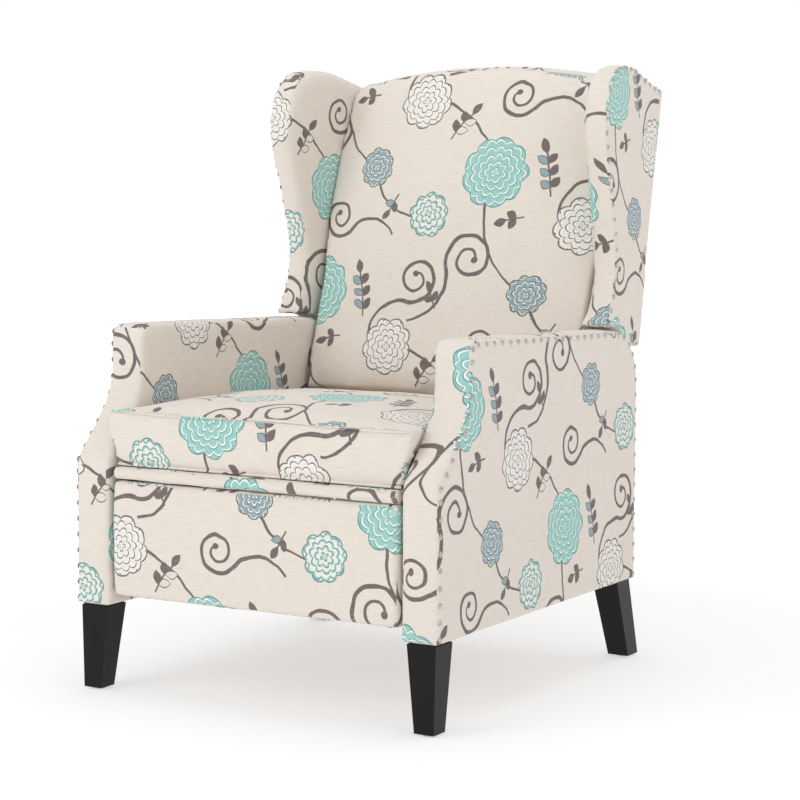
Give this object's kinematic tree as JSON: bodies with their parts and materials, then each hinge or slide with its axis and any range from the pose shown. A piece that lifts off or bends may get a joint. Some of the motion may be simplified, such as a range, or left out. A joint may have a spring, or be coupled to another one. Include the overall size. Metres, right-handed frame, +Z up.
{
  "type": "wingback recliner",
  "caption": "Upholstered push-back recliner with winged back, track arms, nailhead trim, sliding seat and scissor-link footrest on tapered legs.",
  "frame": {"origin": "centre of the bounding box's bottom face, on the floor under the middle of the upright chair", "axes": "+X to the right of someone facing the chair's front, +Y towards the chair's back, +Z up"},
  "size_m": [0.673, 0.8446, 1.016],
  "materials": {
    "fabric_print": "woven linen-look cloth with a printed scroll and bloom pattern",
    "nail_metal": "aged pewter",
    "leg_wood": "black satin stain",
    "glide_plastic": "moulded",
    "frame_wood": "bare plywood and pine",
    "steel_black": "black enamel",
    "steel_zinc": "zinc plated",
    "slider_nylon": "natural nylon"
  },
  "bodies": {
    "base": {"arm_left": "fabric_print", "arm_right": "fabric_print", "arm_core_left": "frame_wood", "arm_core_right": "frame_wood", "arm_nailheads_left": "nail_metal", "arm_nailheads_right": "nail_metal", "leg_front_left": "leg_wood", "leg_front_right": "leg_wood", "leg_rear_left": "leg_wood", "leg_rear_right": "leg_wood", "leg_glides": "glide_plastic", "leg_plates": "steel_black", "leg_bolts": "steel_zinc", "base_rail_front": "frame_wood", "base_rail_rear": "frame_wood", "rear_panel": "fabric_print", "link_plate_left": "steel_black", "link_plate_right": "steel_black", "seat_track_left": "steel_black", "seat_track_right": "steel_black", "recline_plate_left": "steel_black", "recline_plate_right": "steel_black", "side_screws_left": "steel_zinc", "side_screws_right": "steel_zinc"},
    "back": {"back_post_left": "frame_wood", "back_post_right": "frame_wood", "back_rail_top": "frame_wood", "back_rail_mid": "frame_wood", "back_rail_low": "frame_wood", "outer_back": "fabric_print", "back_cushion": "fabric_print", "wing_left": "fabric_print", "wing_right": "fabric_print", "wing_board_left": "frame_wood", "wing_board_right": "frame_wood", "wing_nailheads_left": "nail_metal", "wing_nailheads_right": "nail_metal", "recline_bracket_left": "steel_black", "recline_bracket_right": "steel_black"},
    "seat": {"seat_rail_front": "frame_wood", "seat_rail_rear": "frame_wood", "seat_rail_left": "frame_wood", "seat_rail_right": "frame_wood", "seat_deck": "frame_wood", "seat_cushion": "fabric_print", "seat_sliders": "slider_nylon"},
    "rear_links": {"torque_bar": "steel_black", "rear_link_left": "steel_black", "rear_link_right": "steel_black"},
    "cross_links": {"cross_link_left": "steel_black", "cross_link_right": "steel_black"},
    "front_links": {"front_link_left": "steel_black", "front_link_right": "steel_black"},
    "footrest": {"footrest_board": "frame_wood", "footrest_pad": "fabric_print", "footrest_brackets": "steel_black"},
    "flap": {"flap_board": "frame_wood", "flap_pad": "fabric_print", "flap_brackets": "steel_black"}
  },
  "joints": [
    {"name": "back_recline", "type": "hinge", "parent": "base", "child": "back", "pos_m": [0, 0.19998, 0.42], "axis": [-1, 0, 0], "range_deg": [0, 35]},
    {"name": "seat_slide", "type": "slide", "parent": "base", "child": "seat", "axis": [0, -1, 0], "range_m": [0, 0.045]},
    {"name": "rear_link_swing", "type": "hinge", "parent": "base", "child": "rear_links", "pos_m": [0, -0.35497, 0.325], "axis": [-1, 0, 0], "range_deg": [0, 70]},
    {"name": "cross_link_swing", "type": "hinge", "parent": "rear_links", "child": "cross_links", "pos_m": [0, -0.36195, 0.2453], "axis": [1, 0, 0], "range_deg": [0, 140]},
    {"name": "front_link_swing", "type": "hinge", "parent": "rear_links", "child": "front_links", "pos_m": [0, -0.36892, 0.16561], "axis": [1, 0, 0], "range_deg": [0, 140]},
    {"name": "footrest_turn", "type": "hinge", "parent": "front_links", "child": "footrest", "pos_m": [0, -0.38287, 0.325], "axis": [-1, 0, 0], "range_deg": [0, 160]},
    {"name": "flap_carry", "type": "hinge", "parent": "cross_links", "child": "flap", "pos_m": [0, -0.36892, 0.325], "axis": [-1, 0, 0], "range_deg": [0, 70]}
  ],
  "couplings": [
    {"joint": "seat_slide", "follows": "back_recline", "m_per_rad": 0.073666},
    {"joint": "rear_link_swing", "follows": "back_recline", "ratio": 2},
    {"joint": "cross_link_swing", "follows": "back_recline", "ratio": 4},
    {"joint": "front_link_swing", "follows": "back_recline", "ratio": 4},
    {"joint": "footrest_turn", "follows": "back_recline", "ratio": 4.5714},
    {"joint": "flap_carry", "follows": "back_recline", "ratio": 2}
  ]
}
